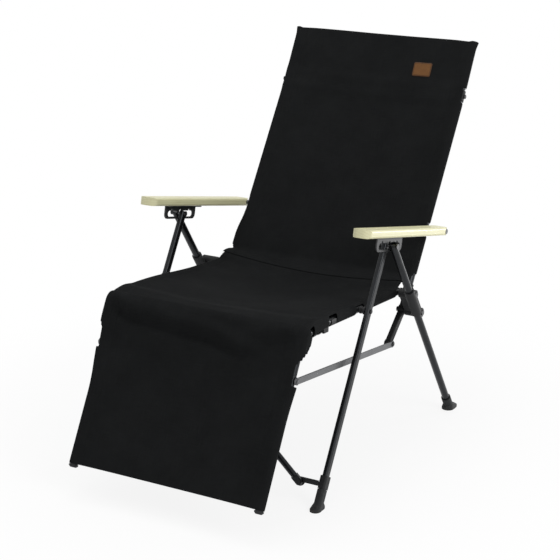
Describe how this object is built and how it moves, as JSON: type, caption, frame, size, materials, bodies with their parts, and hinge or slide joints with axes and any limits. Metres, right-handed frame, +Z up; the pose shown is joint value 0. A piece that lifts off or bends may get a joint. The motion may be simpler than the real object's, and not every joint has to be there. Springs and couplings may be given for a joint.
{
  "type": "camping chair",
  "caption": "Folding reclining camping chair with fabric sling seat, linked footrest, wooden armrests and a crossed front brace.",
  "frame": {"origin": "on the floor under the middle of the chair's bounding box", "axes": "+X to the sitter's left, +Y to the rear, +Z up; the chair faces -Y"},
  "size_m": [0.629, 1.1155, 0.9326],
  "materials": {
    "tube": "satin dark anodised aluminium tube",
    "bracket": "satin grey coated flat bar",
    "plastic": "fine-grained black moulding",
    "rubber": "dull black rubber",
    "steel": "zinc plated fastener",
    "timber": "pale lacquered wood with fine straight grain",
    "cloth": "dense black woven polyester"
  },
  "bodies": {
    "frame_left": {"front_leg_left": "tube", "rear_leg_left": "tube", "front_foot_left": "rubber", "rear_foot_left": "rubber", "leg_pin_left": "steel", "hub_left": "plastic", "seat_rail_left": "tube", "knee_fitting_left": "plastic", "knee_pin_left": "steel", "rail_saddle_left": "plastic", "brace_clip_left": "plastic", "brace_bracket_left": "plastic", "hub_bolts_left": "steel", "seat_sling": "cloth"},
    "back_left": {"back_tube_left": "tube", "head_tube_left": "tube", "back_elbow_left": "plastic", "recline_lever_left": "plastic", "arm_bolt_left": "steel", "back_sling": "cloth"},
    "arm_left": {"armrest_left": "timber", "arm_bracket_left": "bracket"},
    "link_left": {"link_bar_left": "bracket"},
    "footrest_left": {"footrest_rail_left": "tube", "footrest_hinge_left": "plastic", "footrest_cap_left": "plastic", "footrest_sling": "cloth"},
    "frame_right": {"front_leg_right": "tube", "rear_leg_right": "tube", "front_foot_right": "rubber", "rear_foot_right": "rubber", "leg_pin_right": "steel", "hub_right": "plastic", "seat_rail_right": "tube", "knee_fitting_right": "plastic", "knee_pin_right": "steel", "rail_saddle_right": "plastic", "brace_clip_right": "plastic", "brace_bracket_right": "plastic", "hub_bolts_right": "steel"},
    "back_right": {"back_tube_right": "tube", "head_tube_right": "tube", "back_elbow_right": "plastic", "recline_lever_right": "plastic", "arm_bolt_right": "steel"},
    "arm_right": {"armrest_right": "timber", "arm_bracket_right": "bracket"},
    "link_right": {"link_bar_right": "bracket"},
    "footrest_right": {"footrest_rail_right": "tube", "footrest_hinge_right": "plastic", "footrest_cap_right": "plastic"},
    "brace_front": {"brace_bar_front": "tube", "brace_rivet": "steel"},
    "brace_rear": {"brace_bar_rear": "tube"}
  },
  "joints": [
    {"name": "recline", "type": "hinge", "parent": "frame_left", "child": "back_left", "pos_m": [0.2475, 0.15178, 0.32099], "axis": [-1, 0, 0], "range_deg": [-12, 12]},
    {"name": "arm_left_tilt", "type": "hinge", "parent": "back_left", "child": "arm_left", "pos_m": [0.285, 0.27125, 0.49811], "axis": [-1, 0, 0], "range_deg": [-9.36, 9.36]},
    {"name": "link_left_turn", "type": "hinge", "parent": "back_left", "child": "link_left", "pos_m": [0.2562, 0.07517, 0.25671], "axis": [-1, 0, 0], "range_deg": [-13.43, 13.43]},
    {"name": "footrest_left_swing", "type": "hinge", "parent": "frame_left", "child": "footrest_left", "pos_m": [0.2475, -0.35716, 0.41302], "axis": [-1, 0, 0], "range_deg": [-10.06, 10.06]},
    {"name": "recline_right", "type": "hinge", "parent": "frame_right", "child": "back_right", "pos_m": [-0.2475, 0.15178, 0.32099], "axis": [-1, 0, 0], "range_deg": [-12, 12]},
    {"name": "arm_right_tilt", "type": "hinge", "parent": "back_right", "child": "arm_right", "pos_m": [-0.285, 0.27125, 0.49811], "axis": [-1, 0, 0], "range_deg": [-9.36, 9.36]},
    {"name": "link_right_turn", "type": "hinge", "parent": "back_right", "child": "link_right", "pos_m": [-0.2562, 0.07517, 0.25671], "axis": [-1, 0, 0], "range_deg": [-13.43, 13.43]},
    {"name": "footrest_right_swing", "type": "hinge", "parent": "frame_right", "child": "footrest_right", "pos_m": [-0.2475, -0.35716, 0.41302], "axis": [-1, 0, 0], "range_deg": [-10.06, 10.06]},
    {"name": "fold", "type": "hinge", "parent": "frame_left", "child": "brace_front", "pos_m": [0.227, -0.32952, 0.052], "axis": [0, 0.9644, -0.2645], "range_deg": [0, 38], "deforming": ["seat_sling", "back_sling", "footrest_sling"]},
    {"name": "brace_cross", "type": "hinge", "parent": "brace_front", "child": "brace_rear", "pos_m": [0, -0.28313, 0.22112], "axis": [0, 0.9644, -0.2645], "range_deg": [-77, 1]},
    {"name": "frame_close", "type": "hinge", "parent": "brace_rear", "child": "frame_right", "pos_m": [-0.227, -0.32952, 0.052], "axis": [0, 0.9644, -0.2645], "range_deg": [-1, 39]}
  ],
  "couplings": [
    {"joint": "arm_left_tilt", "follows": "recline", "ratio": -0.738},
    {"joint": "link_left_turn", "follows": "recline", "ratio": -1.0775},
    {"joint": "footrest_left_swing", "follows": "recline", "ratio": 0.797},
    {"joint": "recline_right", "follows": "recline", "ratio": 1},
    {"joint": "arm_right_tilt", "follows": "recline", "ratio": -0.738},
    {"joint": "link_right_turn", "follows": "recline", "ratio": -1.0775},
    {"joint": "footrest_right_swing", "follows": "recline", "ratio": 0.797},
    {"joint": "brace_cross", "follows": "fold", "ratio": -2},
    {"joint": "frame_close", "follows": "fold", "ratio": 1}
  ]
}
